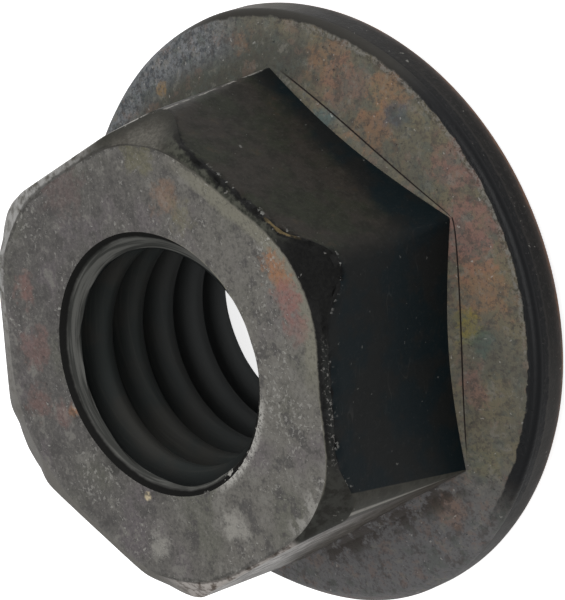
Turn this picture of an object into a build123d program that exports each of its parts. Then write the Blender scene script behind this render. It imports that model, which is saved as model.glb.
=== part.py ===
"""Serrated flange nut for an M6 thread: hexagon, flange and serrated seat forged as one piece.

The origin is the centre of the seat, level with the serration crests, and +Z runs up the
nut's axis to the hex face. Two of the hexagon's corners lie on the X axis.
"""
import os
from math import cos, hypot, pi, radians, tan

from build123d import *

# Driving dimensions, in millimetres and degrees
across_flats = 10.0                # at the flange
total_height = 5.8

flat_draft = 1.0                   # the flats lean in towards the face, to leave the die
corner_radius_top = 1.05           # the hex corners fill less and less towards the face
corner_radius_root = 0.08          # and are almost sharp at the flange
face_border_width = 0.25           # roll from the face to each flat
face_border_drop = 0.14
corner_chamfer_margin = 0.3        # how far outside the flats the corner chamfers start
corner_chamfer_angle = 58.0        # below the plane of the face

flange_diameter = 14.0
rim_wall_top = 1.05                # top of the upright wall round the flange
shoulder_width = 0.21              # rounded shoulder from that wall to the upper surface
shoulder_rise = 0.16
flange_slope = 16.0                # upper surface, rising towards the hexagon
lower_edge_radius = 0.35

swell_rise = 0.1                   # low swell at the foot of each flat, above the flange
swell_width = 0.2
swell_corner_gap = 0.25            # how far from the corner the swell runs out along the flat

bore_diameter = 5.1                # clear circle inside the thread crests
top_countersink_width = 0.45
top_countersink_angle = 120.0
bottom_countersink_width = 0.5
bottom_countersink_angle = 90.0

relief_diameter = 8.6              # plain ring inside the serrations
relief_depth = 0.26
serration_count = 30
serration_depth = 0.28             # at the flange's edge, fading towards the axis
crest_share = 0.14                 # part of the pitch that is flat crest
steep_share = 0.12                 # part of the pitch under the locking face
serration_inset = 0.12             # from the rim to where the gaps' sloped ends run out
serration_end_angle = 45.0
cutter_margin = 1.0                # how far a cutter runs past the metal

# Sizes that follow
apothem = across_flats / 2
corner_reach = apothem / cos(pi / 6)
flange_radius = flange_diameter / 2
shoulder_radius = flange_radius - shoulder_width
rim_top = rim_wall_top + shoulder_rise
bore_radius = bore_diameter / 2


def flange_top(radius):
    """Height of the flange's conical upper surface at a radius."""
    return rim_top + (shoulder_radius - radius) * tan(radians(flange_slope))


hex_root_height = flange_top(corner_reach)
top_apothem = apothem - (total_height - hex_root_height) * tan(radians(flat_draft))


def hex_outline(height, flat_distance, corner_radius=0.0):
    """Hexagonal face at a height, with its corners rounded where a radius is given."""
    outline = RegularPolygon(flat_distance, 6, major_radius=False)
    if corner_radius:
        outline = fillet(outline.vertices(), corner_radius)
    return Plane.XY.offset(height) * outline


def hexagon():
    """Wrenching part: corners that sharpen downwards, rolled flats and chamfered corners."""
    root = hex_outline(hex_root_height, apothem, corner_radius_root)
    body = loft([root, hex_outline(total_height, top_apothem, corner_radius_top)], ruled=True)
    body += extrude(root, -(hex_root_height - relief_depth))
    # the border slopes from the face through a point that lies the drop below it on the flat
    border_foot = total_height - 2 * face_border_drop
    border = loft([
        hex_outline(border_foot, top_apothem + face_border_width),
        hex_outline(total_height, top_apothem - face_border_width),
    ], ruled=True)
    border += extrude(hex_outline(0, top_apothem + face_border_width), border_foot)
    face_radius = top_apothem + corner_chamfer_margin
    foot_radius = face_radius + total_height / tan(radians(corner_chamfer_angle))
    seated = (Align.CENTER, Align.CENTER, Align.MIN)
    return body & border & Cone(foot_radius, face_radius, total_height, align=seated)


def flange():
    """Round flange with an upright rim, a rounded shoulder and a conical upper surface."""
    cone_top = flange_top(bore_radius)
    wall_foot = (flange_radius, lower_edge_radius)
    wall_top = (flange_radius, rim_wall_top)
    shoulder_end = (shoulder_radius, rim_top)
    with BuildSketch(Plane.XZ) as section:
        with BuildLine():
            Polyline((0, cone_top), (0, 0), (flange_radius - lower_edge_radius, 0))
            RadiusArc((flange_radius - lower_edge_radius, 0), wall_foot, -lower_edge_radius)
            Line(wall_foot, wall_top)
            TangentArc(wall_top, shoulder_end, tangent=(0, 1))
            Polyline(shoulder_end, (bore_radius, cone_top), (0, cone_top))
        make_face()
    return revolve(section.sketch, Axis.Z)


def root_swell():
    """Low swell where a flat on the +X side meets the flange: a shallow lens off a large ball.

    The ball passes through the swell's top on the flat, its end on the flange in front of
    that, and the two points beside the corners where it runs out along the flat. The swell
    stays on the flange's upper surface, inside the shoulder.
    """
    top = flange_top(apothem) + swell_rise
    end_radius = apothem + swell_width
    end = flange_top(end_radius)
    half_length = apothem * tan(pi / 6) - swell_corner_gap
    run_out = flange_top(hypot(apothem, half_length))
    centre_z = (top**2 - run_out**2 - half_length**2) / (2 * (top - run_out))
    lift = (end - centre_z) ** 2 - (top - centre_z) ** 2
    centre_x = (end_radius**2 - apothem**2 + lift) / (2 * (end_radius - apothem))
    ball_radius = hypot(apothem - centre_x, top - centre_z)
    ball = Pos(centre_x, 0, centre_z) * Sphere(ball_radius)
    depth = end_radius - bore_radius
    flat_length = 2 * apothem * tan(pi / 6)
    room = Box(depth, flat_length, top, align=(Align.MIN, Align.CENTER, Align.MIN))
    room = Pos(bore_radius, 0, hex_root_height / 2) * room
    return ball & room & Cylinder(shoulder_radius, 2 * total_height)


def bore():
    """Tapping bore with its two countersinks and the relief ring inside the serrations."""
    top_widening = tan(radians(top_countersink_angle / 2))
    bottom_widening = tan(radians(bottom_countersink_angle / 2))
    top_start = total_height - top_countersink_width / top_widening
    bottom_end = relief_depth + bottom_countersink_width / bottom_widening
    above = total_height + cutter_margin
    profile = Polyline(
        (0, above),
        (bore_radius + top_countersink_width + cutter_margin * top_widening, above),
        (bore_radius, top_start),
        (bore_radius, bottom_end),
        (bore_radius + bottom_countersink_width, relief_depth),
        (relief_diameter / 2, relief_depth),
        (relief_diameter / 2, -cutter_margin),
        (0, -cutter_margin),
        close=True,
    )
    return revolve(Plane.XZ * make_face(profile), Axis.Z)


def serration_gap():
    """Cutter for one gap: a steep locking face, then a ramp up to the next crest.

    Both planes of the gap pass through the origin, so it deepens and widens with the radius
    as a radial serration does. Its sloped outer end leaves the flange's lower edge whole.
    Turning the nut to undo it drives the steep faces in.
    """
    pitch_width = 2 * pi / serration_count
    crest_side = crest_share / 2 * pitch_width
    crest = Vector(1, crest_side, 0)
    root = Vector(1, crest_side + steep_share * pitch_width, serration_depth / flange_radius)
    next_crest = Vector(1, pitch_width - crest_side, 0)
    locking_face = Plane((0, 0, 0), x_dir=root, z_dir=root.cross(crest))
    ramp = Plane((0, 0, 0), x_dir=root, z_dir=next_crest.cross(root))
    outwards = (Align.MIN, Align.CENTER, Align.CENTER)
    room = Box(flange_radius, 4 * flange_radius * pitch_width, 2 * serration_depth, align=outwards)
    room = Pos(relief_diameter / 2 - cutter_margin, 0, 0) * room
    run_out = flange_radius - serration_inset
    spread = serration_depth / tan(radians(serration_end_angle))
    limit = Cone(run_out + spread, run_out - spread, 2 * serration_depth)
    return split(split(room, locking_face), ramp) & limit


flange_nut = flange() + hexagon()
flange_nut += [Rot(Z=60 * index + 30) * root_swell() for index in range(6)]
flange_nut -= bore()
flange_nut -= [Rot(Z=360 / serration_count * index) * serration_gap() for index in range(serration_count)]

os.makedirs("parts", exist_ok=True)
export_step(flange_nut, "parts/flange_nut.step")
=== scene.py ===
"""A serrated flange nut, M6, standing on its flange, with its finish, threads and wear."""
from math import atan2, cos, hypot, pi, radians, sin, tan

import bmesh
import bpy
from mathutils import Matrix, Vector, noise


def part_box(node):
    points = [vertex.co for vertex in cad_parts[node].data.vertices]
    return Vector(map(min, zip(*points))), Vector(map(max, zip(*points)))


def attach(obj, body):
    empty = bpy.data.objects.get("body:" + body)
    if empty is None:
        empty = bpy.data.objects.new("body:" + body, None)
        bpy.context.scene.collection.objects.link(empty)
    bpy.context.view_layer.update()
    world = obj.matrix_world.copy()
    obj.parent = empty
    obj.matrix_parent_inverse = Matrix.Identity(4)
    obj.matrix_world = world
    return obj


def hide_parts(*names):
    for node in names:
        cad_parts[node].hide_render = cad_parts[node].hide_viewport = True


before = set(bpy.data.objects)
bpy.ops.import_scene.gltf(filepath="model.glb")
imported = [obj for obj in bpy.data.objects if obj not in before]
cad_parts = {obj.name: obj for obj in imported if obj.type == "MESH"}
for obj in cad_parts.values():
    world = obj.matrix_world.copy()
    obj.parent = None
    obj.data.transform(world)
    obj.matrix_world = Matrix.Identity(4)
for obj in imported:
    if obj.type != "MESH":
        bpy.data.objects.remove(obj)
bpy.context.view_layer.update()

# -----------------------------------------------------------------------------
# The forged blank: steel wire cold-headed into a hexagon on a round flange, with radial
# serrations pressed into its seat. Lengths are in millimetres until it is finished.
_, high_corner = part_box("flange_nut")
flange_radius = high_corner.x * 1000
nut_height = high_corner.z * 1000

apothem = 5.0                      # half of the 10 mm across the flats, at the flange
flat_lean = tan(radians(1))        # the flats lean in towards the face
root_height = 1.5                  # where the hexagon's corners meet the flange
corner_radius_top = 1.05           # corners fill less and less towards the face
corner_radius_root = 0.06
# how far in from each flat the face's rolled border starts, and how deep it goes
border_sizes = ((0.2, 0.08), (0.33, 0.22), (0.24, 0.19), (0.08, 0.1), (0.25, 0.15), (0.25, 0.15))
# how far from the axis each corner's chamfer starts, and how deep it goes
chamfer_sizes = ((4.93, 0.84), (4.92, 0.5), (4.75, 0.49), (4.98, 0.55), (5.1, 0.65), (4.98, 0.77))
# from the middle of a flat, the turns over which a chamfer takes over from the border
drop_turns = radians(16), radians(29)      # in how deep it goes
start_turns = 0, radians(27)               # in where it starts
roll_turns = radians(18), radians(27)      # in being straight, not rolled

struck_angle = radians(-60)        # the side that other nuts have dented
dent_depth = 0.08
dent_middle = -0.03                # how far past a flat's edge dents are deepest
dent_reach = 0.05, 0.28            # and how far from there they begin and end fading out
dent_drop = 0.6                    # a dent in the border goes this much downwards too
dent_scales = 4.2, 9.5             # coarse and fine noise that breaks the dents up

swell_width = 0.2                  # low swell at the foot of each flat
swell_rise = 0.1
swell_crown = 0.2                  # how round it is, as a share of its rise
swell_skew = 0.4                   # each swell is fuller towards one corner
swell_least = 0.01                 # keeps it from closing at the corners
crease_width = 0.045               # fine fold round the swells
crease_depth = 0.03
crease_least = 0.3                 # as a share of its depth, away from the struck side

flange_slope = tan(radians(16))
shoulder_radius = 6.79             # where the flange's edge begins to round
shoulder_height = 1.21
shortfall = 0.29                   # how far inwards that moves where the metal ran short
shortfall_drop = 1.75              # the rim's top sinks by this times the shortfall,
shortfall_flattening = 3           # and the shoulder's round flattens with it
rim_top = 1.05
# where the rim is flatter: the angle, how deep, and the cosine from the angle where it begins
rim_flats = ((radians(-165), 0.06, 0.3), (radians(42), 0.1, 0.86))
lower_edge = 0.47                  # radius of the rim's rounded lower edge
lower_edge_swing = 0.07
lower_edge_widest = radians(-80)

countersink_radius = 3.0
lower_countersink_radius = 3.05
relief_radius = 4.3
relief_depth = 0.26
serration_count = 30
serration_depth = 0.28
serration_run_out = 6.88           # where the gaps' sloped outer ends reach the seat's plane
serration_shares = (0.14, 0.12, 0.74)   # crest, steep face and ramp, as parts of the pitch
serration_steps = (2, 3, 7)

columns = 360
columns_per_corner = columns // 6
columns_per_serration = columns // serration_count
half_flat_columns = 21             # from the middle of a flat to where its corner rounds
half_flat_end = columns_per_corner // 2
far_off = 2                        # distance noted on surfaces that an edge doesn't reach
sharp_turn = radians(35)           # edges that bend more than this are shaded sharp


def placed(name, data):
    """Puts a mesh, a lamp or a camera in the scene."""
    made = bpy.data.objects.new(name, data)
    bpy.context.scene.collection.objects.link(made)
    return made


def smooth_step(x, start, end):
    """0 before start, 1 after end, and a smooth rise between them."""
    x = min(max((x - start) / (end - start), 0), 1)
    return x * x * (3 - 2 * x)


def towards(angle, middle, start, end):
    """Rises to 1 on the side of the nut that faces the middle angle."""
    return smooth_step(cos(angle - middle), start, end)


def polar(radius, angle, height):
    return Vector((radius * cos(angle), radius * sin(angle), height))


def even_angle(column):
    """Angle of a column where they stand evenly round the axis."""
    return 2 * pi * column / columns


def hexagon_point(column, height):
    """Radius and angle where a column stands on the hexagon with its corners rounded."""
    share = min(max((height - root_height) / (nut_height - root_height), 0), 1)
    corner_radius = corner_radius_root + (corner_radius_top - corner_radius_root) * share
    flat_distance = apothem - max(height - root_height, 0) * flat_lean
    corner, place = divmod(column + half_flat_end, columns_per_corner)
    place -= half_flat_end
    step = half_flat_end - abs(place)
    flat_half = (flat_distance - corner_radius) * tan(pi / 6)
    if step <= half_flat_columns:
        out = flat_distance
        along = flat_half * step / half_flat_columns
    else:
        turn = pi / 6 * (step - half_flat_columns) / (half_flat_end - half_flat_columns)
        out = flat_distance - corner_radius * (1 - cos(turn))
        along = flat_half + corner_radius * sin(turn)
    flat_angle = (corner + (0.5 if place > 0 else -0.5)) * pi / 3
    lean = atan2(along, out)
    return hypot(along, out), flat_angle + (-lean if place > 0 else lean)


def off_flat(angle):
    """Signed angle from the middle of the nearest flat."""
    return (angle % (pi / 3)) - pi / 6


def cone_height(radius):
    """Height of the flange's upper surface."""
    return shoulder_height + (shoulder_radius - radius) * flange_slope


def struck(angle):
    """1 over the two flats on the struck side, 0 round the rest."""
    return towards(angle, struck_angle, 0.5, 0.75)


def border_size(angle):
    return border_sizes[int(angle // (pi / 3)) % 6]


def chamfer_size(angle):
    return chamfer_sizes[round(angle / (pi / 3)) % 6]


def flat_top(column):
    """Radius, angle and height where a flat or corner meets the face's border or chamfer."""
    height = nut_height
    for _ in range(3):             # each depends on the others, and three rounds settle them
        radius, angle = hexagon_point(column, height)
        drop = border_size(angle)[1]
        share = smooth_step(abs(off_flat(angle)), *drop_turns)
        height = nut_height - drop - (chamfer_size(angle)[1] - drop) * share
    return radius, angle, height


def face_edge(column):
    """Radius and angle of the face's own edge, inside the border and the corner chamfers."""
    angle = flat_top(column)[1]
    inner = apothem - (nut_height - root_height) * flat_lean - border_size(angle)[0]
    share = smooth_step(abs(off_flat(angle)), *start_turns)
    return inner + (chamfer_size(angle)[0] - inner) * share, angle


def flat_foot(column):
    radius, angle = hexagon_point(column, root_height)
    return radius, angle, cone_height(radius) + swell_rise * cos(3 * off_flat(angle))


def face_point(column, t):
    """From the countersink's edge out to the face's own edge."""
    edge, angle = face_edge(column)
    uniform = even_angle(column)
    angle = uniform + (angle - uniform) * smooth_step(t, 0, 1)
    return polar(countersink_radius + (edge - countersink_radius) * t, angle, nut_height)


def border_point(column, t):
    """Rolled along the flats, straight down the corner chamfers."""
    edge, _ = face_edge(column)
    radius, angle, height = flat_top(column)
    drop = nut_height - height
    straight = smooth_step(abs(off_flat(angle)), *roll_turns)
    out = sin(t * pi / 2) * (1 - straight) + t * straight
    down = (1 - cos(t * pi / 2)) * (1 - straight) + t * straight
    return polar(edge + (radius - edge) * out, angle, nut_height - drop * down)


def flat_point(column, t):
    top = flat_top(column)[2]
    foot = flat_foot(column)[2]
    height = top + (foot - top) * t
    radius, angle = hexagon_point(column, height)
    return polar(radius, angle, height)


def swell_share(angle):
    """How full the swell is: 1 at the middle of a flat, next to nothing at the corners."""
    off = off_flat(angle)
    return max(cos(3 * off), swell_least) ** 0.5 * (1 + swell_skew * off / (pi / 6))


def swell_point(column, t):
    """The low swell between a flat's foot and the crease on the flange."""
    radius, angle, height = flat_foot(column)
    end = radius + swell_width * swell_share(angle)
    crown = swell_crown * swell_rise * sin(pi * t) * swell_share(angle)
    return polar(radius + (end - radius) * t, angle, height + (cone_height(end) - height) * t + crown)


def crease_point(column, t):
    radius, angle, _ = flat_foot(column)
    radius += swell_width * swell_share(angle) + crease_width * t
    share = crease_least + (1 - crease_least) * struck(angle)
    depth = crease_depth * share * swell_share(angle) * sin(pi * t)
    return polar(radius, angle, cone_height(radius) - depth)


def shoulder_start(angle):
    """Where the flange's edge begins to round: the metal ran short on the side away."""
    return shoulder_radius - shortfall * (1 - towards(angle, struck_angle, -0.8, 0.45))


def rim_radius(angle):
    """The flange is a little short of round towards -X, and flat for a short way at +X +Y."""
    radius = flange_radius
    for middle, depth, start in rim_flats:
        radius -= depth * towards(angle, middle, start, 1)
    return radius


def rim_wall_top(angle):
    return rim_top - shortfall_drop * (shoulder_radius - shoulder_start(angle))


def lower_edge_radius(angle):
    return lower_edge + lower_edge_swing * cos(angle - lower_edge_widest)


def flange_point(column, t):
    """The flange's conical upper surface, from the crease to the shoulder."""
    angle = even_angle(column)
    here = crease_point(column, 1).lerp(polar(shoulder_start(angle), angle, 0), t)
    here.z = cone_height(hypot(here.x, here.y))
    return here


def shoulder_point(column, t):
    """Rounded shoulder down to the upright rim, flatter where the metal ran short."""
    angle = even_angle(column)
    start = shoulder_start(angle)
    flatness = 1 + shortfall_flattening * (shoulder_radius - start)
    radius = start + (rim_radius(angle) - start) * sin(t * pi / 2) ** flatness
    top = cone_height(start)
    height = rim_wall_top(angle) + (top - rim_wall_top(angle)) * cos(t * pi / 2) ** flatness
    return polar(radius, angle, height)


def serration_angle(column):
    """Angle of a column once it is drawn to the serrations' edges."""
    tooth, step = divmod(column, columns_per_serration)
    place = -serration_shares[0] / 2
    for share, steps in zip(serration_shares, serration_steps):
        taken = min(step, steps)
        place += share * taken / steps
        step -= taken
    return (tooth + place) * 2 * pi / serration_count


def serration_height(column, radius):
    """Height of the serrated seat: 0 on the crests, deepest at the foot of the steep face."""
    step = column % columns_per_serration
    crest, steep, ramp = serration_steps
    if step <= crest:
        depth = 0
    elif step <= crest + steep:
        depth = (step - crest) / steep
    else:
        depth = 1 - (step - crest - steep) / ramp
    sloped_end = max(serration_run_out - radius, 0)
    return min(serration_depth * depth * radius / flange_radius, sloped_end)


def rim_point(column, t):
    uniform = even_angle(column)
    angle = uniform + (serration_angle(column) - uniform) * smooth_step(t, 0, 1)
    start = rim_wall_top(uniform)
    return polar(rim_radius(uniform), angle, start + (lower_edge_radius(uniform) - start) * t)


def lower_edge_point(column, t):
    turn = t * pi / 2
    uniform = even_angle(column)
    edge_radius = lower_edge_radius(uniform)
    radius = rim_radius(uniform) - edge_radius * (1 - cos(turn))
    height = edge_radius * (1 - sin(turn))
    return polar(radius, serration_angle(column), max(height, serration_height(column, radius)))


def seat_point(column, t):
    uniform = even_angle(column)
    outer = rim_radius(uniform) - lower_edge_radius(uniform)
    radius = outer + (relief_radius - outer) * t
    return polar(radius, serration_angle(column), serration_height(column, radius))


def relief_wall_point(column, t):
    start = serration_height(column, relief_radius)
    return polar(relief_radius, serration_angle(column), start + (relief_depth - start) * t)


def relief_point(column, t):
    uniform = even_angle(column)
    angle = serration_angle(column)
    angle += (uniform - angle) * smooth_step(t, 0, 1)
    radius = relief_radius + (lower_countersink_radius - relief_radius) * t
    return polar(radius, angle, relief_depth)


# from the countersink's upper edge, over the outside, to its lower edge
skin_bands = (
    (face_point, 16, "face"),
    (border_point, 9, "edge"),
    (flat_point, 34, "flat"),
    (swell_point, 5, "flange"),
    (crease_point, 4, "flange"),
    (flange_point, 14, "flange"),
    (shoulder_point, 6, "flange"),
    (rim_point, 7, "rim"),
    (lower_edge_point, 7, "rim"),
    (seat_point, 9, "seat"),
    (relief_wall_point, 2, "seat"),
    (relief_point, 4, "seat"),
)
finishes = ["face", "edge", "flat", "flange", "rim", "seat", "thread"]
ring_count = sum(steps for _, steps, _ in skin_bands)


def band_of(ring):
    """The band a ring lies in, with how far along it the ring is and the band's finish."""
    for shape, steps, finish in skin_bands:
        if ring <= steps:
            return shape, ring / steps, finish
        ring -= steps


def dent(point, past_flat_edge, angle):
    """How far a bump against other nuts has pushed in the edge over a flat."""
    near = struck(angle) * (1 - smooth_step(abs(past_flat_edge - dent_middle), *dent_reach))
    if not near:
        return 0
    coarse, fine = (noise.noise(point * scale) for scale in dent_scales)
    return dent_depth * near * smooth_step(coarse + 0.6 * fine, -0.05, 0.55)


nut = bmesh.new()
past_face_edge = nut.verts.layers.float.new("past_face_edge")   # along the surface, outwards
past_flat_edge = nut.verts.layers.float.new("past_flat_edge")
from_corner = nut.verts.layers.float.new("from_corner")         # along the surface, either way
off_corner = nut.verts.layers.float.new("off_corner")           # 1 where a corner's round ends
fold = nut.verts.layers.float.new("fold")                       # 1 along the bottom of the crease
blank = [nut.verts.new((1, 0, -ring)) for ring in range(ring_count + 1)]
for upper, lower in zip(blank, blank[1:]):
    nut.edges.new((upper, lower))
bmesh.ops.spin(
    nut, geom=nut.verts[:] + nut.edges[:], cent=(0, 0, 0), axis=(0, 0, 1),
    angle=2 * pi, steps=columns, use_merge=True,
)
for face in nut.faces:
    ring = -max(vertex.co.z for vertex in face.verts) + 0.5
    face.material_index = finishes.index(band_of(ring)[2])
for vertex in nut.verts:
    column = round(atan2(vertex.co.y, vertex.co.x) / (2 * pi) * columns) % columns
    shape, t, finish = band_of(round(-vertex.co.z))
    point = shape(column, t)
    edge, angle = face_edge(column)
    radius, _, height = flat_top(column)
    if finish == "face":
        vertex[past_face_edge] = hypot(point.x, point.y) - edge
        vertex[past_flat_edge] = -far_off
    elif finish == "edge":
        width = hypot(radius - edge, nut_height - height)
        vertex[past_face_edge] = t * width
        vertex[past_flat_edge] = (t - 1) * width
    else:
        vertex[past_face_edge] = far_off
        vertex[past_flat_edge] = height - point.z
    corner_step = abs((column + half_flat_end) % columns_per_corner - half_flat_end)
    vertex[off_corner] = corner_step / (half_flat_end - half_flat_columns)
    vertex[from_corner] = (pi / 6 - abs(off_flat(atan2(point.y, point.x)))) * hypot(point.x, point.y)
    if shape is crease_point:
        vertex[fold] = sin(pi * t) * swell_share(angle)
    if finish in ("edge", "flat"):
        depth = dent(point, vertex[past_flat_edge], angle)
        point -= depth * polar(1, angle, dent_drop if finish == "edge" else 0)
    vertex.co = point

# -----------------------------------------------------------------------------
# The thread: a right-hand M6 by 1 thread, cut by a tap through a punched hole, with a
# countersink at each end. Its crests are left a little flat and its edges worn round.
pitch = 1.0
crest_radius = 2.55
root_radius = 3.0
crest_half = 0.05                  # half-widths, as parts of the pitch
root_start = 0.49
thread_steps = 17                  # rows of faces to a pitch
crest_angle = radians(111)         # where a crest lies at crest_height
crest_height = 0.7
first_crest = crest_height - crest_angle / (2 * pi) * pitch
run_below, run_above = 1.5, 0.2    # pitches that the tap runs past the metal
end_reach = 0.002                  # rows this near to an end of the bore end there
upper_countersink_slope = tan(radians(60))
lower_countersink_slope = tan(radians(45))


def thread_radius(height, angle):
    """Distance from the axis to the thread, or to a countersink where that lies outside it."""
    turn = ((height - first_crest) / pitch - angle / (2 * pi)) % 1
    away = min(turn, 1 - turn)
    cut = crest_radius + (root_radius - crest_radius) * smooth_step(away, crest_half, root_start)
    from_top = countersink_radius - (nut_height - height) * upper_countersink_slope
    from_bottom = lower_countersink_radius - (height - relief_depth) * lower_countersink_slope
    return max(cut, from_top, from_bottom)


lowest_row = int((relief_depth - run_below * pitch) / pitch * thread_steps)
highest_row = int((nut_height + run_above * pitch) / pitch * thread_steps)
tap = bmesh.new()
wire = [
    tap.verts.new((crest_radius, 0, row * pitch / thread_steps + first_crest % (pitch / thread_steps)))
    for row in range(lowest_row, highest_row + 1)
]
for lower, upper in zip(wire, wire[1:]):
    tap.edges.new((lower, upper))
bmesh.ops.spin(
    tap, geom=tap.verts[:] + tap.edges[:], cent=(0, 0, 0), axis=(0, 0, 1),
    dvec=(0, 0, pitch / columns), angle=2 * pi, steps=columns,
)
for vertex in tap.verts:
    angle = atan2(vertex.co.y, vertex.co.x)
    height = min(max(vertex.co.z, relief_depth), nut_height)
    for end in (relief_depth, nut_height):
        if abs(height - end) < end_reach:
            height = end
    vertex.co = polar(thread_radius(height, angle), angle, height)
bmesh.ops.remove_doubles(tap, verts=tap.verts, dist=1e-3)
for face in tap.faces:
    face.material_index = finishes.index("thread")
tapped = bpy.data.meshes.new("tapped_bore")
tap.to_mesh(tapped)
tap.free()
nut.from_mesh(tapped)
bpy.data.meshes.remove(tapped)

bmesh.ops.remove_doubles(nut, verts=nut.verts, dist=1e-4)
bmesh.ops.dissolve_degenerate(nut, edges=nut.edges, dist=1e-5)
bmesh.ops.recalc_face_normals(nut, faces=nut.faces)
bmesh.ops.scale(nut, vec=(0.001, 0.001, 0.001), verts=nut.verts)
for face in nut.faces:
    face.smooth = True
for edge in nut.edges:
    edge.smooth = edge.calc_face_angle(0) < sharp_turn
mesh = bpy.data.meshes.new("forged_nut")
nut.to_mesh(mesh)
nut.free()
forged_nut = placed("forged_nut", mesh)
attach(forged_nut, "root")
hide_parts("flange_nut")

# -----------------------------------------------------------------------------
# Marks that the nut's finishes share: chips and dust, stains of rust and temper colour, and
# fine scratches. Each is a node group that gives a mask from 0 to 1.


def node(tree, kind, inputs, **settings):
    """Adds a node; its inputs are plain values or the sockets that feed them."""
    made = tree.nodes.new("ShaderNode" + kind)
    for name, value in settings.items():
        setattr(made, name, value)
    for name, value in inputs.items():
        socket = made.inputs[name]
        if isinstance(value, bpy.types.NodeSocket):
            tree.links.new(value, socket)
        elif socket.type == "RGBA":
            socket.default_value = (*value, 1)
        else:
            socket.default_value = value
    return made.outputs


def maths(tree, operation, *values):
    return node(tree, "Math", dict(enumerate(values)), operation=operation)[0]


def vectors(tree, operation, *values):
    return node(tree, "VectorMath", dict(enumerate(values)), operation=operation)


def times(tree, *values):
    product = values[0]
    for value in values[1:]:
        product = maths(tree, "MULTIPLY", product, value)
    return product


def added(tree, base, value, factor):
    """The base plus the value times the factor."""
    return maths(tree, "MULTIPLY_ADD", value, factor, base)


def most(tree, *values):
    greatest = values[0]
    for value in values[1:]:
        greatest = maths(tree, "MAXIMUM", greatest, value)
    return greatest


def fade(tree, value, start, end):
    """0 before start, 1 after end, and a smooth rise between them."""
    span = {"Value": value, "From Min": start, "From Max": end}
    return node(tree, "MapRange", span, interpolation_type="SMOOTHSTEP")["Result"]


def blend(tree, factor, first, second):
    return node(tree, "Mix", {0: factor, 6: first, 7: second}, data_type="RGBA")[2]


def layered(tree, colour, *coats):
    """Lays coats over a colour in turn: each is a tone and the masks that say where it shows."""
    for tone, *masks in coats:
        colour = blend(tree, times(tree, *masks), colour, tone)
    return colour


def cloud(tree, vector, scale, detail=3.0, roughness=0.5, distortion=0.0):
    """Noise about 0.5."""
    values = {"Scale": scale, "Detail": detail, "Roughness": roughness, "Distortion": distortion}
    return node(tree, "TexNoise", {"Vector": vector, **values})["Fac"]


def wander(tree, value, place, scale, reach):
    """Moves a value up and down by noise, so that a border drawn from it is ragged."""
    rough = maths(tree, "SUBTRACT", cloud(tree, place, scale, 5, 0.65), 0.5)
    return added(tree, value, rough, reach)


def shifted(tree, place, shift):
    """The same place seen further along, so that a mark doesn't fall on another."""
    return vectors(tree, "ADD", place, (shift, shift, shift))["Vector"]


def mark_group(name, inputs):
    """An empty node group that takes a place in millimetres and some values, and gives a mask."""
    tree = bpy.data.node_groups.new(name, "ShaderNodeTree")
    tree.interface.new_socket("Place", in_out="INPUT", socket_type="NodeSocketVector")
    for label, value in inputs.items():
        kind = "NodeSocketVector" if isinstance(value, tuple) else "NodeSocketFloat"
        tree.interface.new_socket(label, in_out="INPUT", socket_type=kind).default_value = value
    tree.interface.new_socket("Mask", in_out="OUTPUT", socket_type="NodeSocketFloat")
    return tree, tree.nodes.new("NodeGroupInput").outputs, tree.nodes.new("NodeGroupOutput").inputs


def marked(tree, group, place, **values):
    """The mask of a mark group placed in a material."""
    inputs = {"Place": place, **{label.capitalize(): value for label, value in values.items()}}
    return node(tree, "Group", inputs, node_tree=group)["Mask"]


# chips and crumbs of dust, no two the same shape; more of them as the share grows
chips, given, out = mark_group("chips", {"Scale": 6.0, "Share": 0.3})
rough = cloud(chips, given["Place"], given["Scale"], 2, 0.55, 0.3)
start = added(chips, 0.78, given["Share"], -0.25)
chips.links.new(fade(chips, rough, start, maths(chips, "ADD", start, 0.05)), out["Mask"])

# a stain round a point, with a ragged edge and a mottled middle
stain, given, out = mark_group("stain", {"Centre": (0.0, 0.0, 0.0), "Radius": 0.5})
away = vectors(stain, "DISTANCE", given["Place"], given["Centre"])["Value"]
away = maths(stain, "DIVIDE", away, given["Radius"])
away = wander(stain, away, given["Place"], 3.0, 3.0)
mottled = fade(stain, cloud(stain, given["Place"], 5, 3, 0.6), 0.1, 0.6)
stain.links.new(times(stain, fade(stain, away, 1.15, 0.45), mottled), out["Mask"])

# broken hairlines that wander along one direction
scratches, given, out = mark_group("scratches", {"Turn": (0.0, 0.0, 0.0), "Share": 0.5})
drawn = {"Vector": given["Place"], "Rotation": given["Turn"], "Scale": (0.3, 3.0, 1.0)}
line = cloud(scratches, node(scratches, "Mapping", drawn)["Vector"], 1.6, 2, 0.5, 0.3)
line = maths(scratches, "ABSOLUTE", maths(scratches, "SUBTRACT", line, 0.5))
line = fade(scratches, line, 0.009, 0.002)
least = maths(scratches, "SUBTRACT", 0.78, given["Share"])
broken = fade(scratches, cloud(scratches, given["Place"], 1.3, 3), least, 0.85)
scratches.links.new(times(scratches, line, broken), out["Mask"])


def stain_coats(tree, place, stains):
    """A coat for each stain, from its centre, radius, tone and strength."""
    return [
        (tone, marked(tree, stain, place, centre=centre, radius=radius), strength)
        for centre, radius, tone, strength in stains
    ]


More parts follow.
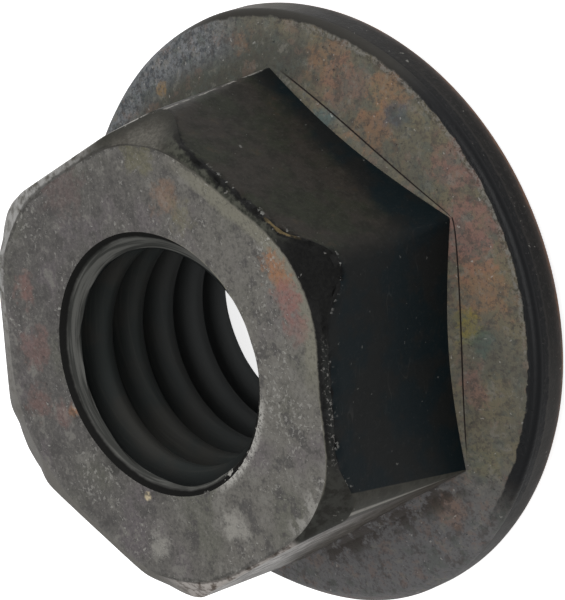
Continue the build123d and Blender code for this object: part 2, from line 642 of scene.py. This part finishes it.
def steel_finish(name, specular, surface):
    """A finish on the nut. Its surface gives colour, roughness and height in hundredths of a mm."""
    material = bpy.data.materials.new(name)
    material.use_nodes = True
    tree = material.node_tree
    shader = tree.nodes["Principled BSDF"]
    shader.inputs["Specular IOR Level"].default_value = specular
    objects = node(tree, "TexCoord", {})["Object"]
    place = node(tree, "VectorMath", {0: objects, "Scale": 1000.0}, operation="SCALE")["Vector"]
    colour, roughness, height = surface(tree, place)
    bump = node(tree, "Bump", {"Height": height, "Strength": 1.0, "Distance": 0.00001})
    tree.links.new(colour, shader.inputs["Base Color"])
    tree.links.new(roughness, shader.inputs["Roughness"])
    tree.links.new(bump["Normal"], shader.inputs["Normal"])
    mesh.materials.append(material)


def surface_value(tree, name):
    return node(tree, "Attribute", {}, attribute_name=name)["Fac"]


def reach_along(tree, place, angle):
    """How far a place lies along a level direction, at an angle in degrees."""
    side = (cos(radians(angle)), sin(radians(angle)), 0)
    return vectors(tree, "DOT_PRODUCT", place, side)["Value"]


def facing(tree, place, angle, start, end):
    """Rises to 1 on the side of the nut that lies at an angle in degrees round its axis."""
    level = vectors(tree, "MULTIPLY", place, (1, 1, 0))["Vector"]
    outwards = vectors(tree, "NORMALIZE", level)["Vector"]
    return fade(tree, reach_along(tree, outwards, angle), start, end)


# -----------------------------------------------------------------------------
# The hex face: sheared wire end with a dull grey oxide scale, dusty and stained by heat. Its
# edge over the two struck flats carries a paler strip and a light line, painted highlights where
# the edge rolls towards the light.
rust_orange = (0.27, 0.135, 0.07)
rust_pink = (0.22, 0.11, 0.095)
temper_olive = (0.15, 0.14, 0.075)
dust_white = (0.42, 0.41, 0.38)
face_stains = (
    ((3.8, -0.65, nut_height), 0.5, rust_orange, 0.35),
    ((3.5, -1.05, nut_height), 0.45, temper_olive, 0.45),
    ((4.65, 0.1, nut_height), 0.5, temper_olive, 0.5),
    ((2.6, -3.8, nut_height), 0.45, rust_orange, 1.0),
    ((2.0, -4.05, nut_height), 0.5, rust_pink, 0.9),
    ((1.45, -4.2, nut_height), 0.4, rust_pink, 0.5),
    ((1.2, 3.95, nut_height), 0.4, rust_pink, 0.55),
    ((-0.1, 3.75, nut_height), 0.5, rust_pink, 0.4),
    ((-1.45, 3.8, nut_height), 0.45, rust_pink, 0.4),
    ((-1.6, 3.05, nut_height), 0.35, rust_pink, 0.35),
    ((3.7, 2.55, nut_height), 0.7, (0.13, 0.09, 0.085), 0.5),
    ((-3.4, -1.95, nut_height), 0.42, (0.27, 0.26, 0.235), 0.9),
    ((-4.2, 0.35, nut_height), 0.36, (0.27, 0.26, 0.235), 0.8),
    ((-3.12, 0.62, nut_height), 0.11, (0.62, 0.52, 0.33), 1.0),
    ((-1.5, 2.75, nut_height), 0.16, rust_orange, 0.8),
)


def cracked_sides(tree, place):
    """The two sides of the nut where the face's border has cracked off its edge."""
    return most(tree, facing(tree, place, 25, 0.6, 0.8), facing(tree, place, -160, 0.85, 0.95))


def face_surface(tree, place):
    broad = cloud(tree, place, 0.55, 4, 0.6)
    patch = cloud(tree, place, 2.2, 4, 0.65)
    grain = cloud(tree, place, 13, 4, 0.7)
    across = wander(tree, node(tree, "SeparateXYZ", {0: place})["Y"], place, 0.6, 4)
    colour = blend(tree, fade(tree, across, 3.5, -4.0), (0.088, 0.083, 0.079), (0.135, 0.128, 0.114))
    past = wander(tree, surface_value(tree, "past_face_edge"), place, 2.5, 0.35)
    # painted highlight: a paler strip inside the face's edge over the struck flats, where the edge rolls
    # towards the light
    painted_edge_highlight = times(tree, fade(tree, past, -0.42, -0.22), facing(tree, place, -50, 0.7, 0.9))
    # painted highlight: a light line along the face's very edge on the same side
    rim = times(tree, fade(tree, past, -0.2, 0.02), facing(tree, place, -55, 0.75, 0.5))
    crack = times(tree, fade(tree, past, -0.08, -0.03), cracked_sides(tree, place))
    torn = times(tree, fade(tree, past, -0.5, -0.15), facing(tree, place, -121, 0.975, 0.99))
    torn = times(tree, torn, fade(tree, cloud(tree, shifted(tree, place, 9), 3.2, 4, 0.65), 0.5, 0.58))
    hollow = marked(tree, chips, shifted(tree, place, 31), scale=5.0, share=0.25)
    from_axis = vectors(tree, "DISTANCE", place, (0, 0, nut_height))["Value"]
    by_bore = fade(tree, wander(tree, from_axis, place, 2.5, 0.6), 3.35, 3.05)
    pitted = times(tree, by_bore, facing(tree, place, 125, 0.3, 0.8), fade(tree, patch, 0.5, 0.4))
    by_lip = times(tree, fade(tree, from_axis, 3.22, 3.05), facing(tree, place, -122, 0.85, 0.97))
    dusty = added(tree, fade(tree, cloud(tree, place, 0.7, 2), 0.42, 0.68), by_bore, 0.3)
    coarse = marked(tree, chips, place, scale=6.0, share=added(tree, 0.22, dusty, 0.3))
    fine = marked(tree, chips, place, scale=12.0, share=added(tree, 0.4, dusty, 0.45))
    hair = marked(tree, scratches, place, turn=(0, 0, 0.6), share=0.4)
    dust = most(tree, times(tree, coarse, 0.45), times(tree, fine, 0.3))
    light = most(tree, dust, times(tree, hair, 0.12))
    roughness = added(tree, 0.45, grain, 0.25)
    height = added(tree, times(tree, patch, 1.5), grain, 1.2)
    height = added(tree, height, hollow, -1.6)
    height = added(tree, height, dust, 3.0)
    colour = layered(
        tree, colour,
        ((0.104, 0.104, 0.084), fade(tree, broad, 0.5, 0.62), 0.7),
        ((0.112, 0.097, 0.104), fade(tree, broad, 0.46, 0.34), 0.7),
        ((0.066, 0.062, 0.060), fade(tree, patch, 0.52, 0.62), 0.85),
        ((0.168, 0.162, 0.146), fade(tree, patch, 0.45, 0.36), 0.75),
        ((0.178, 0.170, 0.132), painted_edge_highlight, 0.85),
        ((0.15, 0.145, 0.135), rim, 0.5),
        ((0.035, 0.033, 0.030), crack, fade(tree, patch, 0.3, 0.5), 0.7),
        *stain_coats(tree, place, face_stains),
        ((0.28, 0.27, 0.25), torn, 0.8),
        ((0.045, 0.043, 0.040), fade(tree, grain, 0.52, 0.32), 0.5),
        ((0.20, 0.19, 0.17), fade(tree, grain, 0.5, 0.7), 0.4),
        ((0.04, 0.038, 0.036), hollow, 0.5),
        ((0.022, 0.021, 0.019), pitted, 0.8),
        (dust_white, by_lip, fade(tree, grain, 0.35, 0.55), 0.85),
        (dust_white, light),
    )
    return colour, roughness, height


steel_finish("face_scale", 0.3, face_surface)

# -----------------------------------------------------------------------------
# The rolled border and the corner chamfers: painted black on the struck side, a painted dark
# reflection and shade where the border turns away from the light; dusty over the -Y flat, and
# scuffed back to grey round the rest.


def edge_surface(tree, place):
    past_face = surface_value(tree, "past_face_edge")
    past_flat = surface_value(tree, "past_flat_edge")
    rough = cloud(tree, place, 5, 4, 0.65)
    grain = cloud(tree, place, 14, 3, 0.6)
    patch = cloud(tree, place, 2.6, 4, 0.6)
    scuffed = blend(tree, fade(tree, grain, 0.3, 0.7), (0.062, 0.059, 0.050), (0.112, 0.105, 0.090))
    blotched = blend(tree, fade(tree, rough, 0.36, 0.56), (0.10, 0.080, 0.066), (0.40, 0.37, 0.345))
    hollow = blend(tree, fade(tree, rough, 0.38, 0.6), (0.020, 0.019, 0.016), (0.040, 0.040, 0.035))
    low = times(tree, fade(tree, past_flat, -0.75, -0.02), facing(tree, place, -4, 0.9, 0.97))
    hollowed = blend(tree, fade(tree, rough, 0.4, 0.6), (0.022, 0.023, 0.018), (0.062, 0.063, 0.050))
    black = blend(tree, fade(tree, grain, 0.3, 0.7), (0.0035, 0.0035, 0.0035), (0.008, 0.008, 0.0075))
    outer = fade(tree, wander(tree, past_flat, place, 3.5, 0.5), -0.19, -0.1)
    by_flat = times(tree, facing(tree, place, -27, 0.9, 0.97), maths(tree, "SUBTRACT", 1, outer))
    # painted dark reflection and shade: the border turns black on the struck side
    painted_dark_band = facing(tree, place, -57, 0.56, 0.74)
    black = layered(tree, black, (hollowed, by_flat))
    scuffed = layered(
        tree, scuffed,
        ((0.050, 0.044, 0.037), fade(tree, patch, 0.5, 0.62), 0.6),
        ((0.30, 0.295, 0.285), facing(tree, place, 66, 0.5, 0.95), fade(tree, rough, 0.3, 0.6)),
        ((0.17, 0.162, 0.15), facing(tree, place, 150, 0.2, 0.6), 0.7),
        (blotched, facing(tree, place, -155, 0.85, 0.93)),
        (hollow, facing(tree, place, -119, 0.955, 0.975)),
        ((0.029, 0.028, 0.023), low),
    )
    colour = blend(tree, painted_dark_band, scuffed, black)
    dusty = times(tree, facing(tree, place, -92, 0.95, 0.985), fade(tree, past_face, 0.08, 0.16))
    speckled = blend(tree, fade(tree, grain, 0.54, 0.66), (0.017, 0.018, 0.017), (0.17, 0.165, 0.155))
    ragged = wander(tree, past_face, place, 6, 0.08)
    streak = marked(tree, stain, place, centre=(3.42, -3.80, 5.65), radius=0.4)
    streak = times(tree, streak, fade(tree, wander(tree, past_flat, place, 6, 0.1), -0.1, -0.06))
    far_lip = times(tree, fade(tree, past_flat, -0.08, -0.03), facing(tree, place, 32, 0.875, 0.90))
    crumbs = marked(tree, chips, place, scale=6.0, share=0.3)
    roughness = added(tree, 0.4, rough, 0.3)
    height = added(tree, times(tree, grain, 0.4), rough, 2.0)
    colour = layered(
        tree, colour,
        (speckled, dusty),
        # painted highlight: a light line where the border leaves the face on the struck side
        ((0.145, 0.138, 0.115), fade(tree, ragged, 0.05, 0.0), facing(tree, place, -65, 0.5, 0.75)),
        ((0.030, 0.028, 0.025), fade(tree, ragged, 0.06, 0.02), cracked_sides(tree, place), 0.7),
        ((0.19, 0.14, 0.065), streak, 0.7),
        ((0.33, 0.32, 0.30), far_lip, fade(tree, rough, 0.35, 0.5)),
        ((0.30, 0.29, 0.27), crumbs, 0.4),
    )
    return colour, roughness, height


steel_finish("dented_edge", 0.12, edge_surface)

# -----------------------------------------------------------------------------
# The six flats: pressed smooth by the die, blue-black and glossy, with an olive tint high on
# the +X side; being lighter there and near black lower down, towards the flange, is painted light
# and shade. One flat kept its scale, and the corners are worn.


def flat_surface(tree, place):
    split = node(tree, "SeparateXYZ", {0: place})
    past_flat = surface_value(tree, "past_flat_edge")
    off_corner = surface_value(tree, "off_corner")
    broad = cloud(tree, place, 0.8, 4, 0.6)
    patch = cloud(tree, place, 3.0, 4, 0.65)
    grain = cloud(tree, place, 11, 4, 0.65)
    level = wander(tree, added(tree, split["Z"], split["X"], 0.45), place, 0.9, 1.6)
    # partly painted light: an olive tint, lighter high on the lit +X side, fading to near black lower down
    # towards the flange
    olive_and_painted_light = times(tree, fade(tree, level, 4.2, 4.9), fade(tree, split["X"], 2.5, 3.3))
    black = blend(tree, fade(tree, broad, 0.42, 0.58), (0.0045, 0.0092, 0.0115), (0.0088, 0.0100, 0.0102))
    olive = blend(tree, fade(tree, broad, 0.42, 0.58), (0.0205, 0.0225, 0.0150), (0.0260, 0.0225, 0.0190))
    black = layered(
        tree, black,
        ((0.013, 0.013, 0.012), fade(tree, patch, 0.55, 0.7), 0.5),
        ((0.035, 0.037, 0.037), fade(tree, grain, 0.55, 0.75), 0.3),
    )
    olive = layered(
        tree, olive,
        ((0.0125, 0.0125, 0.010), fade(tree, patch, 0.45, 0.62), 0.6),
        ((0.040, 0.030, 0.020), fade(tree, patch, 0.4, 0.3), 0.6),
        ((0.042, 0.040, 0.034), fade(tree, grain, 0.48, 0.68), 0.4),
    )
    colour = blend(tree, olive_and_painted_light, black, olive)
    crumbled = cloud(tree, place, 1.8, 5, 0.75)
    scaled = blend(tree, fade(tree, crumbled, 0.45, 0.55), (0.060, 0.051, 0.042), (0.150, 0.140, 0.125))
    peeled = wander(tree, added(tree, nut_height, split["Z"], -1.0), place, 1.5, 3.0)
    white = times(tree, fade(tree, peeled, 2.6, 0.6), fade(tree, crumbled, 0.36, 0.62))
    worn_lip = fade(tree, wander(tree, past_flat, place, 5, 0.12), 0.12, 0.04)
    scaled = layered(
        tree, scaled,
        ((0.40, 0.38, 0.365), white),
        ((0.050, 0.044, 0.037), fade(tree, grain, 0.5, 0.35), 0.6),
        ((0.34, 0.325, 0.30), worn_lip),
    )
    by_third = facing(tree, place, -120, 0.97, 0.985)
    third_corner = times(tree, by_third, fade(tree, off_corner, 1.0, 0.93))
    rubbed = blend(tree, fade(tree, patch, 0.4, 0.6), (0.036, 0.035, 0.029), (0.052, 0.050, 0.042))
    far_side = times(tree, by_third, facing(tree, place, 150, 0.0, 0.015))
    shaded = times(tree, fade(tree, off_corner, 0.2, 0.5), far_side, 0.6)
    # wear and painted highlight: a pale line where the far side of the corner's round turns away from view
    line = times(tree, fade(tree, off_corner, 0.0, 0.12), fade(tree, off_corner, 0.45, 0.25), far_side)
    edge_worn = wander(tree, surface_value(tree, "from_corner"), place, 5, 0.14)
    edge_worn = times(
        tree, fade(tree, edge_worn, 0.055, 0.015), facing(tree, place, -60, 0.95, 0.8),
        maths(tree, "SUBTRACT", 1, by_third), fade(tree, patch, 0.42, 0.56), fade(tree, grain, 0.3, 0.55),
    )
    ragged = wander(tree, past_flat, place, 5, 0.45)
    # painted dark reflection and shade: the border's black band runs on over the top of the flats on the
    # struck side
    painted_dark_band = times(tree, fade(tree, ragged, 0.1, 0.0), facing(tree, place, -57, 0.5, 0.7))
    near_edge = fade(tree, past_flat, 0.2, 0.02)
    near_edge = times(tree, near_edge, facing(tree, place, -70, 0.5, 0.75), fade(tree, patch, 0.44, 0.52))
    edge_chips = times(tree, marked(tree, chips, place, scale=8.0, share=0.7), near_edge, 0.45)
    dust = times(tree, marked(tree, chips, place, scale=7.0, share=0.22), 0.25)
    hair = times(tree, marked(tree, scratches, place, turn=(1.2, 0, 0.3), share=0.25), 0.06)
    light = most(tree, edge_chips, dust, hair)
    roughness = added(tree, 0.28, patch, 0.25)
    height = added(tree, times(tree, patch, 0.8), grain, 0.5)
    colour = layered(
        tree, colour,
        (scaled, facing(tree, place, -152, 0.86, 0.875)),
        (rubbed, third_corner),
        ((0.055, 0.048, 0.040), shaded),
        ((0.25, 0.24, 0.215), line, fade(tree, grain, 0.25, 0.45)),
        ((0.24, 0.23, 0.21), edge_worn),
        ((0.005, 0.005, 0.005), painted_dark_band),
        ((0.36, 0.36, 0.34), light),
    )
    return colour, roughness, height


steel_finish("pressed_flat", 0.08, flat_surface)

# -----------------------------------------------------------------------------
# The flange's upper side: brown-grey scale, grainy and rust-stained, bluer and pitted towards
# +X +Y, out to a ragged edge where the die's shoulder begins on the struck side. The shoulder is
# painted black there, a painted dark reflection where it turns away from the light.
scaled_flat = -150                 # angle of the flat that kept its scale, in degrees
flange_stains = (
    ((4.9, 3.4, 1.45), 0.2, (0.26, 0.16, 0.06), 0.8),
    ((6.25, 0.95, 1.35), 0.32, rust_orange, 0.4),
    ((6.05, -1.7, 1.35), 0.7, rust_orange, 0.45),
    ((5.55, -2.2, 1.45), 0.7, rust_pink, 0.35),
    ((5.4, -3.3, 1.33), 0.6, rust_orange, 0.5),
    ((4.75, -3.05, 1.5), 0.6, rust_orange, 0.45),
    ((5.0, -3.55, 1.4), 0.35, (0.075, 0.085, 0.095), 0.9),
    ((4.75, -1.75, 1.65), 0.35, (0.075, 0.105, 0.10), 0.9),
    ((3.95, -5.05, 1.3), 0.7, rust_pink, 0.6),
    ((2.6, -5.45, 1.4), 0.9, rust_pink, 0.7),
    ((1.35, -5.75, 1.45), 0.8, rust_orange, 0.5),
    ((0.5, -5.45, 1.55), 0.4, (0.19, 0.16, 0.04), 0.8),
    ((0.2, -5.7, 1.5), 0.35, (0.06, 0.10, 0.085), 0.7),
    ((-0.9, -5.4, 1.6), 0.5, rust_pink, 0.5),
    ((-2.6, -5.5, 1.4), 0.5, temper_olive, 0.5),
    ((-3.9, -4.4, 1.45), 0.5, rust_orange, 0.35),
)


def flange_surface(tree, place):
    split = node(tree, "SeparateXYZ", {0: place})
    squared = added(tree, times(tree, split["Y"], split["Y"]), split["X"], split["X"])
    radius = maths(tree, "SQRT", squared)
    broad = cloud(tree, place, 0.9, 4, 0.65)
    patch = cloud(tree, place, 3.2, 5, 0.7)
    grain = cloud(tree, place, 11, 4, 0.7)
    colour = blend(tree, fade(tree, broad, 0.38, 0.62), (0.104, 0.099, 0.077), (0.138, 0.121, 0.081))
    olive = times(tree, facing(tree, place, 18, 0.8, 0.95), fade(tree, radius, 6.7, 6.2), 0.9)
    cool = times(tree, facing(tree, place, 48, 0.72, 0.9), fade(tree, radius, 5.7, 6.3))
    mottle = cloud(tree, shifted(tree, place, 5), 1.9, 5, 0.7)
    speckle = cloud(tree, place, 6.5, 5, 0.75)
    hollow = marked(tree, chips, shifted(tree, place, 17), scale=9.0, share=0.3)
    dust = times(tree, marked(tree, chips, place, scale=7.0, share=0.35), 0.45)
    hair = times(tree, marked(tree, scratches, place, turn=(0, 0, 0.2), share=0.35), 0.12)
    crease = fade(tree, surface_value(tree, "fold"), 0.1, 0.4)
    by_flat = fade(tree, reach_along(tree, place, scaled_flat), 5.65, 5.3)
    chipped = times(tree, by_flat, facing(tree, place, scaled_flat, 0.85, 0.95))
    chipped = times(tree, chipped, fade(tree, mottle, 0.46, 0.53), 0.7)
    outer = wander(tree, added(tree, radius, split["X"], -0.016), place, 3, 0.18)
    crumbly = times(tree, fade(tree, outer, 6.56, 6.66), facing(tree, place, -45, 0.6, 0.9))
    rolled = times(tree, fade(tree, outer, 6.70, 6.76), facing(tree, place, -40, 0.2, 0.6))
    # painted dark reflection: the glossy shoulder turns black on the struck side
    painted_dark_shoulder = times(tree, fade(tree, outer, 6.70, 6.74), facing(tree, place, -78, 0.62, 0.8))
    roughness = added(tree, 0.5, grain, 0.25)
    roughness = added(tree, roughness, painted_dark_shoulder, -0.25)
    height = added(tree, times(tree, patch, 2.5), grain, 1.2)
    height = added(tree, height, hollow, -2.0)
    height = added(tree, height, crumbly, times(tree, grain, 5))
    height = times(tree, height, added(tree, 1, rolled, -0.85))
    colour = layered(
        tree, colour,
        ((0.128, 0.125, 0.127), facing(tree, place, -160, 0.6, 0.9)),
        ((0.064, 0.065, 0.053), olive),
        ((0.145, 0.152, 0.158), cool),
        *stain_coats(tree, place, flange_stains),
        ((0.060, 0.052, 0.045), fade(tree, patch, 0.52, 0.62), 0.6),
        ((0.175, 0.165, 0.142), fade(tree, patch, 0.46, 0.36), 0.55),
        ((0.078, 0.092, 0.080), fade(tree, mottle, 0.53, 0.6), 0.45),
        ((0.170, 0.110, 0.085), fade(tree, mottle, 0.44, 0.38), 0.35),
        ((0.030, 0.036, 0.044), fade(tree, speckle, 0.5, 0.6), cool, 0.75),
        ((0.26, 0.265, 0.27), fade(tree, speckle, 0.42, 0.34), cool, 0.6),
        ((0.044, 0.043, 0.043), fade(tree, grain, 0.51, 0.35), added(tree, 0.55, cool, 0.2)),
        ((0.022, 0.023, 0.026), hollow, 0.5),
        (dust_white, most(tree, dust, hair)),
        # painted shade: the crease's fold darkened on the struck side
        ((0.014, 0.009, 0.008), crease, facing(tree, place, -60, 0.53, 0.62)),
        ((0.034, 0.024, 0.018), chipped),
        ((0.22, 0.21, 0.195), crumbly, fade(tree, grain, 0.42, 0.56), 0.6),
        ((0.031, 0.029, 0.025), rolled),
        ((0.005, 0.0055, 0.0065), painted_dark_shoulder),
        ((0.15, 0.105, 0.085), fade(tree, outer, 6.80, 6.92), facing(tree, place, 125, 0.2, 0.6), 0.7),
    )
    return colour, roughness, height


steel_finish("flange_scale", 0.2, flange_surface)

# -----------------------------------------------------------------------------
# The rim: formed by the die into an upright wall, near black, with an olive bloom on the +X
# side and a brown lower edge where it has begun to rust.


def rim_surface(tree, place):
    above_floor = node(tree, "SeparateXYZ", {0: place})["Z"]
    patch = cloud(tree, place, 2.0, 4, 0.6)
    grain = cloud(tree, place, 11, 4, 0.65)
    colour = blend(tree, fade(tree, patch, 0.35, 0.65), (0.0065, 0.0063, 0.0062), (0.0130, 0.0120, 0.0110))
    line = wander(tree, above_floor, place, 4, 0.14)
    struck_side = facing(tree, place, -78, 0.62, 0.8)
    ridge = times(tree, fade(tree, line, 0.78, 0.82), fade(tree, line, 0.88, 0.84), struck_side, 0.25)
    lower = wander(tree, above_floor, place, 4, 0.3)
    blotched = added(tree, 0.5, fade(tree, patch, 0.4, 0.6), 0.5)
    turned_under = fade(tree, wander(tree, above_floor, place, 3, 0.15), 0.16, 0.05)
    roughness = added(tree, 0.32, patch, 0.3)
    height = added(tree, times(tree, patch, 1.0), grain, 0.8)
    colour = layered(
        tree, colour,
        ((0.075, 0.067, 0.054), facing(tree, place, 35, 0.7, 0.97)),
        ((0.034, 0.032, 0.030), facing(tree, place, -125, 0.75, 0.95), 0.8),
        # painted dark reflection: the top of the wall carries on the shoulder's black on the struck side
        ((0.005, 0.0055, 0.0065), fade(tree, line, 0.84, 0.88), struck_side),
        ((0.05, 0.046, 0.042), ridge),
        ((0.034, 0.023, 0.018), fade(tree, lower, 0.62, 0.36), 0.7),
        ((0.17, 0.080, 0.042), fade(tree, lower, 0.43, 0.28), blotched),
        ((0.048, 0.042, 0.037), turned_under),
        ((0.055, 0.05, 0.046), fade(tree, grain, 0.5, 0.72), 0.35),
        (dust_white, marked(tree, chips, place, scale=7.0, share=0.28), 0.35),
    )
    return colour, roughness, height


steel_finish("rim_wall", 0.12, rim_surface)

# -----------------------------------------------------------------------------
# The serrated seat: dark scale between the serrations, their crests rubbed bright, and a
# plain relief ring inside them.


def seat_surface(tree, place):
    above_floor = node(tree, "SeparateXYZ", {0: place})["Z"]
    broad = cloud(tree, place, 0.9, 3)
    grain = cloud(tree, place, 10, 4, 0.65)
    colour = blend(tree, fade(tree, broad, 0.35, 0.65), (0.040, 0.039, 0.037), (0.066, 0.060, 0.054))
    rubbed = fade(tree, wander(tree, above_floor, place, 9, 0.12), 0.035, 0.0)
    hollow = marked(tree, chips, place, scale=7.0, share=0.45)
    rust = fade(tree, cloud(tree, place, 1.4, 5, 0.65), 0.58, 0.68)
    roughness = added(tree, 0.4, grain, 0.3)
    height = added(tree, times(tree, hollow, -1.5), grain, 1.8)
    colour = layered(
        tree, colour,
        ((0.24, 0.235, 0.225), rubbed, 0.7),
        ((0.018, 0.018, 0.018), hollow, 0.6),
        (rust_orange, rust, 0.45),
    )
    return colour, roughness, height


steel_finish("serrated_seat", 0.3, seat_surface)

# -----------------------------------------------------------------------------
# The tapped bore: black oxide over cut threads, painted lighter deeper down, where less light
# reaches. The countersink is bare of threads and greyer, with painted shade as a dark ring at its
# lip and chips along one side.


def thread_surface(tree, place):
    above_floor = node(tree, "SeparateXYZ", {0: place})["Z"]
    grain = cloud(tree, place, 8, 4, 0.6)
    broad = cloud(tree, place, 1.0, 3)
    rings = vectors(tree, "MULTIPLY", place, (0.2, 0.2, 9.0))["Vector"]
    turned = cloud(tree, rings, 2.0, 3, 0.6)
    colour = blend(tree, fade(tree, broad, 0.4, 0.6), (0.029, 0.033, 0.032), (0.037, 0.037, 0.034))
    cone = blend(tree, fade(tree, turned, 0.42, 0.58), (0.040, 0.041, 0.038), (0.100, 0.100, 0.093))
    # painted shade: a dark ring at the countersink's lip, wider towards 110 degrees
    painted_lip_shade = added(tree, above_floor, facing(tree, place, 110, 0.0, 0.9), 0.02)
    painted_lip_shade = fade(tree, wander(tree, painted_lip_shade, place, 2, 0.05), 5.70, 5.75)
    cone = layered(tree, cone, ((0.0075, 0.0075, 0.007), painted_lip_shade))
    lip = times(tree, fade(tree, above_floor, 5.68, 5.75), facing(tree, place, -125, 0.8, 0.95))
    crumbs = marked(tree, chips, place, scale=6.0, share=0.75)
    roughness = added(tree, 0.5, grain, 0.2)
    colour = layered(
        tree, colour,
        ((0.060, 0.060, 0.054), fade(tree, turned, 0.5, 0.7), 0.4),
        # painted light: the thread is painted lighter deeper down, where less light reaches
        ((0.062, 0.066, 0.066), fade(tree, above_floor, 4.5, 0.8)),
        ((0.012, 0.014, 0.014), fade(tree, above_floor, 4.9, 5.3)),
        (cone, fade(tree, above_floor, 5.52, 5.54)),
        (dust_white, crumbs, lip, 0.8),
    )
    return colour, roughness, added(tree, times(tree, grain, 0.8), turned, 0.6)


steel_finish("tapped_bore", 0.06, thread_surface)

# -----------------------------------------------------------------------------
# The floor: a pale, matt light table under the nut. It glows to white for the camera and keeps
# the nut's soft shadow, and it isn't part of the object.
floor_half = 0.6                   # in metres, as are the sizes below
# a hair below the serrations, so that their crests don't lie in its plane
floor_place = Matrix.Translation((0, 0, -0.00001))
table = bmesh.new()
bmesh.ops.create_grid(table, x_segments=1, y_segments=1, size=floor_half, matrix=floor_place)
floor_mesh = bpy.data.meshes.new("floor")
table.to_mesh(floor_mesh)
table.free()
floor = placed("floor", floor_mesh)
pale = bpy.data.materials.new("pale_floor")
pale.use_nodes = True
shader = pale.node_tree.nodes["Principled BSDF"]
shader.inputs["Base Color"].default_value = (0.8, 0.8, 0.8, 1)
shader.inputs["Roughness"].default_value = 0.9
shader.inputs["Specular IOR Level"].default_value = 0.2
path = node(pale.node_tree, "LightPath", {})
glow = times(pale.node_tree, path["Is Camera Ray"], 0.82)
mirrored = times(pale.node_tree, path["Is Glossy Ray"], 0.3)
shader.inputs["Emission Color"].default_value = (1, 1, 1, 1)
strength = maths(pale.node_tree, "ADD", glow, mirrored)
pale.node_tree.links.new(strength, shader.inputs["Emission Strength"])
floor_mesh.materials.append(pale)

# -----------------------------------------------------------------------------
# Studio light: a soft box overhead, another from the side, and a room that lights the nut at
# half strength, though the camera sees it as white.
room_light = 0.5
lit_point = Vector((0, 0, 0.003))   # about the middle of the nut
world = bpy.data.worlds.new("room")
world.use_nodes = True
world.node_tree.nodes["Background"].inputs["Color"].default_value = (1, 1, 1, 1)
seen = node(world.node_tree, "LightPath", {})["Is Camera Ray"]
strength = added(world.node_tree, room_light, seen, 1 - room_light)
world.node_tree.links.new(strength, world.node_tree.nodes["Background"].inputs["Strength"])
bpy.context.scene.world = world


def soft_box(name, place, size, power):
    lamp = bpy.data.lights.new(name, "AREA")
    lamp.shape = "SQUARE"
    lamp.size = size
    lamp.energy = power
    box = placed(name, lamp)
    box.location = place
    box.rotation_euler = (lit_point - Vector(place)).to_track_quat("-Z", "Y").to_euler()


soft_box("overhead", (0.01, -0.02, 0.12), 0.08, 0.055)
soft_box("side", (0.12, 0.01, 0.05), 0.08, 0.06)

# -----------------------------------------------------------------------------
# The camera looks down on the hex face from the struck side, through a long lens, rolled so
# that the nut's axis lies across the view.
camera_azimuth = radians(-67.805)
camera_elevation = radians(45.162)
camera_roll = radians(110.380)
camera_distance = 0.099461
camera_aim = Vector((0.000894, -0.001182, 0.0029))
camera_lens = 269.49               # focal length in millimetres
camera_data = bpy.data.cameras.new("camera")
camera_data.lens = camera_lens
camera_data.clip_start = 0.001
camera = placed("camera", camera_data)
back = polar(cos(camera_elevation), camera_azimuth, sin(camera_elevation))
turned = (-back).to_track_quat("-Z", "Y").to_matrix().to_4x4()
level = Matrix.Translation(camera_aim + back * camera_distance) @ turned
camera.matrix_world = level @ Matrix.Rotation(-camera_roll, 4, "Z")
bpy.context.scene.camera = camera
bpy.context.scene.view_settings.view_transform = "Standard"
